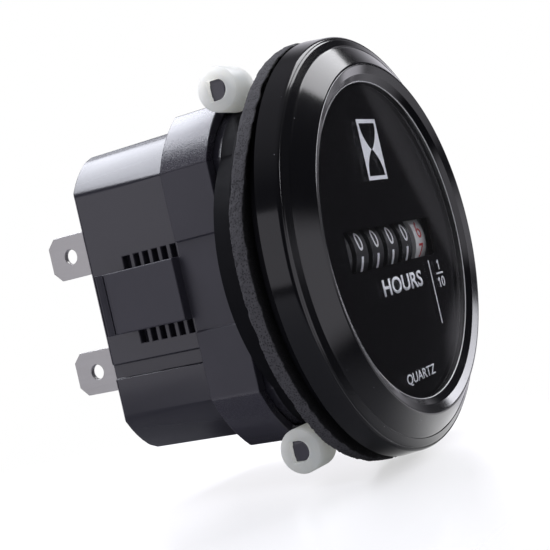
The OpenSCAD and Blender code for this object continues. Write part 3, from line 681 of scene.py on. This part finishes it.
# The motor's magnet is bonded ferrite, and its coil is wound in layers of enamelled copper wire on a bobbin.
# Two stiff leads carry on to the circuit board.
ferrite, w = new_finish("ferrite")
w.coat(color=w.grain(0.8, 4).tint((0.035, 0.034, 0.036), (0.065, 0.064, 0.068)), rough=0.5 + w.grain(0.4, 3)*0.2,
       normal=w.relief(w.grain(0.2, 3), 0.2, 0.02))
dress("rotor", ferrite)
enamel, w = new_finish("enamel")
w.coat(color=w.grain(0.9, 3).tint((0.42, 0.15, 0.05), (0.58, 0.24, 0.09)), metal=0.9, rough=0.25 + w.grain(0.4, 2)*0.15,
       normal=w.relief(w.grain(0.15, 2), 0.1, 0.01))
dress("coil_leads", enamel)


def wound_coil(name, node, wire_mm):
    """Rings of wire laid side by side along X over a bobbin tube, made with Geometry Nodes."""
    low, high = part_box(node)
    r = (high[1] - low[1])/2
    tree = bpy.data.node_groups.new(name, "GeometryNodeTree")
    add = tree.nodes.new
    sizes = {"Wire radius": "Float", "Coil radius": "Float", "Turns": "Int", "Start": "Vector", "Pitch": "Float"}
    ports = {}
    for label, kind in sizes.items():
        ports[label] = tree.interface.new_socket(label, in_out="INPUT", socket_type="NodeSocket" + kind)
    tree.interface.new_socket("Geometry", in_out="OUTPUT", socket_type="NodeSocketGeometry")
    given, made = add("NodeGroupInput"), add("NodeGroupOutput")
    line, step = add("GeometryNodeMeshLine"), add("ShaderNodeCombineXYZ")
    loop, section = add("GeometryNodeCurvePrimitiveCircle"), add("GeometryNodeCurvePrimitiveCircle")
    tube, copies = add("GeometryNodeCurveToMesh"), add("GeometryNodeInstanceOnPoints")
    real, painted = add("GeometryNodeRealizeInstances"), add("GeometryNodeSetMaterial")
    loop.inputs["Resolution"].default_value = 48
    section.inputs["Resolution"].default_value = 6
    copies.inputs["Rotation"].default_value = (0, math.pi/2, 0)
    painted.inputs["Material"].default_value = enamel
    join = tree.links.new
    join(given.outputs["Turns"], line.inputs["Count"])
    join(given.outputs["Start"], line.inputs["Start Location"])
    join(given.outputs["Pitch"], step.inputs["X"])
    join(step.outputs["Vector"], line.inputs["Offset"])
    join(given.outputs["Coil radius"], loop.inputs["Radius"])
    join(given.outputs["Wire radius"], section.inputs["Radius"])
    join(loop.outputs["Curve"], tube.inputs["Curve"])
    join(section.outputs["Curve"], tube.inputs["Profile Curve"])
    join(line.outputs["Mesh"], copies.inputs["Points"])
    join(tube.outputs["Mesh"], copies.inputs["Instance"])
    join(copies.outputs["Instances"], real.inputs["Geometry"])
    join(real.outputs["Geometry"], painted.inputs["Geometry"])
    join(painted.outputs["Geometry"], made.inputs["Geometry"])
    holder = bpy.data.objects.new(name, bpy.data.meshes.new(name))
    bpy.context.scene.collection.objects.link(holder)
    wind = holder.modifiers.new("wind", "NODES")
    wind.node_group = tree
    wire = wire_mm*mm
    turns = int((high[0] - low[0])/wire)
    wind[ports["Wire radius"].identifier] = wire/2
    wind[ports["Coil radius"].identifier] = r - wire/2
    wind[ports["Turns"].identifier] = turns
    wind[ports["Start"].identifier] = (low[0] + wire/2, (low[1] + high[1])/2, (low[2] + high[2])/2)
    wind[ports["Pitch"].identifier] = (high[0] - low[0] - wire)/(turns - 1)
    graph = bpy.context.evaluated_depsgraph_get()
    mesh = bpy.data.meshes.new_from_object(holder.evaluated_get(graph))
    bpy.data.objects.remove(holder)
    mesh.name = name
    smooth_by_angle(mesh, 80)
    return mesh


winding = add_piece("coil_winding", wound_coil("coil_winding", "motor_coil", 0.3), enamel, "housing")
dress("motor_coil", enamel)


# The circuit board is green glass-fibre sheet held in the case's rails, with the timer's parts on its inner face.
# A moulded chip, a sleeved capacitor and banded resistors stand on it.
board_green, w = new_finish("board_green")
tracks = w.grain(1.6, 1, (1, 0.35, 1.6)).between(0.50, 0.54)
w.coat(color=tracks.tint((0.012, 0.075, 0.032), (0.03, 0.15, 0.065)), rough=0.28 + w.grain(0.5, 3)*0.15,
       normal=w.relief(tracks, 0.2, 0.03))
dress("circuit_board", board_green)
chip_resin, w = new_finish("chip_resin")
w.coat(color=w.grain(0.6, 4).tint((0.010, 0.010, 0.011), (0.022, 0.022, 0.023)), rough=0.5 + w.grain(0.2, 3)*0.2,
       normal=w.relief(w.grain(0.12, 3), 0.3, 0.02))
dress("timer_chip", chip_resin)
can_sleeve, w = new_finish("can_sleeve")
w.coat(color=w.grain(5, 3).tint((0.015, 0.022, 0.06), (0.03, 0.04, 0.095)), rough=0.25 + w.grain(0.8, 3)*0.15)
dress("capacitor", can_sleeve)
resistor_tan, w = new_finish("resistor_tan")
bands = w.math("SINE", w.axis("Y")*4.2).between(0.55, 0.75)
w.coat(color=bands.tint((0.46, 0.33, 0.18), (0.12, 0.04, 0.02)), rough=0.3 + w.grain(0.4, 3)*0.15)
dress("resistors", resistor_tan)


# The studio: a pale card under the meter, soft boxes above and in front, a fill on its left and a plain white backdrop.
# The backdrop is the world's colour, and away from it the room is dim, as round a shooting table.
floor_middle, floor_r, floor_corners = Vector((-40, 60, -29.6))*mm, 105*mm, 120
floor_rim = []
for k in range(floor_corners):
    a = 2*math.pi*k/floor_corners
    floor_rim.append(floor_middle + Vector((math.cos(a), math.sin(a), 0))*floor_r)
floor_mesh = bpy.data.meshes.new("floor")
floor_mesh.from_pydata(floor_rim, [], [list(range(floor_corners))])
floor_pale, w = new_finish("floor_pale")
seen = w.node("ShaderNodeLightPath", out="Is Camera Ray")
glint = w.node("ShaderNodeLightPath", out="Is Glossy Ray")
along, depth = w.axis("X"), w.axis("Y")
# Seen in reflections only, the card glows in a pool under the front of the meter, as painted light, and is painted
# darker away from a patch at its front right, as painted shade.
painted_light_pool = along.between(-11, 6)*along.between(40, 10)*depth.between(10, 0)
lit = along.between(-28, -6)*depth.between(26, 6)
# Painted shade for reflections outside the lit patch, with a faint random tone.
paper = (1 - glint*(1 - lit))*0.9 + w.grain(40, 3)*0.1
card = w.skin(color=paper.tint((0.22, 0.22, 0.24), (0.44, 0.44, 0.46)), rough=0.25, gloss=0.3)
# White to the camera, plus a painted light pool for reflections.
white = w.node("ShaderNodeEmission", {}, {"Color": (1, 1, 1, 1), "Strength": seen*0.58 + glint*painted_light_pool*1.2})
both = w.node("ShaderNodeAddShader", {}, {0: card, 1: white})
clear = w.node("ShaderNodeBsdfTransparent")
rim = w.node("ShaderNodeVectorMath", {"operation": "DISTANCE"}, {0: w.place(), 1: floor_middle}, "Value")/mm
w.show(w.node("ShaderNodeMixShader", {}, {0: rim.between(78, 104), 1: both, 2: clear}))
floor = bpy.data.objects.new("floor", floor_mesh)
floor_mesh.materials.append(floor_pale)
bpy.context.scene.collection.objects.link(floor)

world = bpy.data.worlds.new("studio")
bpy.context.scene.world = world
world.use_nodes = True
world.node_tree.nodes.clear()
w = Wire(world.node_tree)
path = w.node("ShaderNodeLightPath", out="Is Camera Ray")
shiny = w.node("ShaderNodeLightPath", out="Is Glossy Ray")
through = w.node("ShaderNodeLightPath", out="Is Transmission Ray")
toward = w.node("ShaderNodeTexCoord", out="Generated")


def facing(x, y, z):
    """How squarely a direction in the room faces the given one."""
    aim = Vector((x, y, z)).normalized()
    return w.node("ShaderNodeVectorMath", {"operation": "DOT_PRODUCT"}, {0: toward, 1: aim}, "Value")


height = facing(0, 0, 1)
backdrop = facing(0.868, 0.496, 0.0).between(0.66, 0.97)*0.9
table_end = facing(0.82, -0.55, -0.25).between(0.88, 0.96)*height.between(-0.13, -0.20)*0.8
front_wall = facing(-0.30, -0.94, -0.17).between(0.87, 0.95)*1.2
bench = facing(0.955, -0.27, -0.11).between(0.992, 0.999)*2.0
ceiling = height.between(0.55, 0.95)*0.2
window = facing(0.70, -0.71, 0.03).between(0.972, 0.988)*0.6
door = facing(0.36, -0.93, 0.02).between(0.983, 0.995)*1.6
seam = facing(0.3612, 0.8997, 0.2453)
fold = seam.between(-0.004, 0.003)*(0.35 + 0.65*seam.between(0.020, 0.006))
curtain = facing(0.915, -0.403, 0.0).between(0.965, 0.985)*fold*0.07
glow = 0.02 + backdrop + table_end + front_wall + door + window + curtain + bench + ceiling
ambient = w.node("ShaderNodeBackground", {}, {"Color": (0.93, 0.94, 1.0, 1), "Strength": 0.40})
dim = w.node("ShaderNodeBackground", {}, {"Color": (0.94, 0.92, 1.0, 1), "Strength": glow})
plain = w.node("ShaderNodeBackground", {}, {"Color": (1, 1, 1, 1), "Strength": 1.0})
scattered = w.node("ShaderNodeLightPath", out="Diffuse Depth") > 0.5
mirrored = w.math("MAXIMUM", shiny, through)*(1 - scattered)
room = w.node("ShaderNodeMixShader", {}, {0: mirrored, 1: ambient, 2: dim})
sky = w.node("ShaderNodeMixShader", {}, {0: path, 1: room, 2: plain})
w.node("ShaderNodeOutputWorld", {}, {"Surface": sky})


def soft_box(name, toward, far, wide, tall, watts, tint):
    """An area lamp that lies in a direction from the meter's middle, far metres away, and faces it."""
    lamp = bpy.data.lights.new(name, "AREA")
    lamp.shape = "RECTANGLE"
    lamp.size, lamp.size_y = wide, tall
    lamp.energy = watts
    lamp.color = tint
    holder = bpy.data.objects.new(name, lamp)
    spot = Vector(toward).normalized()*far
    holder.location = spot + meter_middle
    holder.rotation_euler = spot.to_track_quat("Z", "Y").to_euler()
    bpy.context.scene.collection.objects.link(holder)


meter_middle = Vector((0, 10*mm, 0))
soft_box("box_over_rear", (-0.04, 0.58, 0.81), 0.50, 0.48, 0.12, 1.38, (0.90, 0.92, 1.0))
soft_box("box_over_front", (0.50, -0.30, 0.81), 0.50, 0.32, 0.30, 1.65, (0.97, 0.97, 1.0))
soft_box("strip_front", (0.714, -0.666, 0.218), 1.50, 0.889, 0.136, 3.60, (0.93, 0.93, 1.0))
soft_box("fill_left", (-0.87, 0.465, 0.14), 0.60, 0.46, 0.40, 0.55, (0.94, 0.92, 1.0))

turn, lift, roll = math.radians(-60.278), math.radians(-0.0458), math.radians(-12.9665)
camera_far, camera_side, camera_drop, aim = 178.939, 1.1364, 0.8339, Vector((0, 15, 0))
focal_px, frame_px, sensor = 1229.5164, 550, 36
back = Vector((math.sin(turn)*math.cos(lift), -math.cos(turn)*math.cos(lift), math.sin(lift)))
level = Vector((math.cos(turn), math.sin(turn), 0))
plumb = back.cross(level)
right = math.cos(roll)*level + math.sin(roll)*plumb
over = math.cos(roll)*plumb - math.sin(roll)*level
eye = (back*camera_far + right*camera_side - over*camera_drop + aim)*mm
lens_data = bpy.data.cameras.new("camera")
lens_data.sensor_width = sensor
lens_data.lens = focal_px/frame_px*sensor
lens_data.clip_start = 0.005
camera = bpy.data.objects.new("camera", lens_data)
camera.matrix_world = Matrix((
    (right.x, over.x, back.x, eye.x), (right.y, over.y, back.y, eye.y), (right.z, over.z, back.z, eye.z), (0, 0, 0, 1)))
bpy.context.scene.collection.objects.link(camera)
bpy.context.scene.camera = camera
bpy.context.scene.view_settings.view_transform = "Standard"
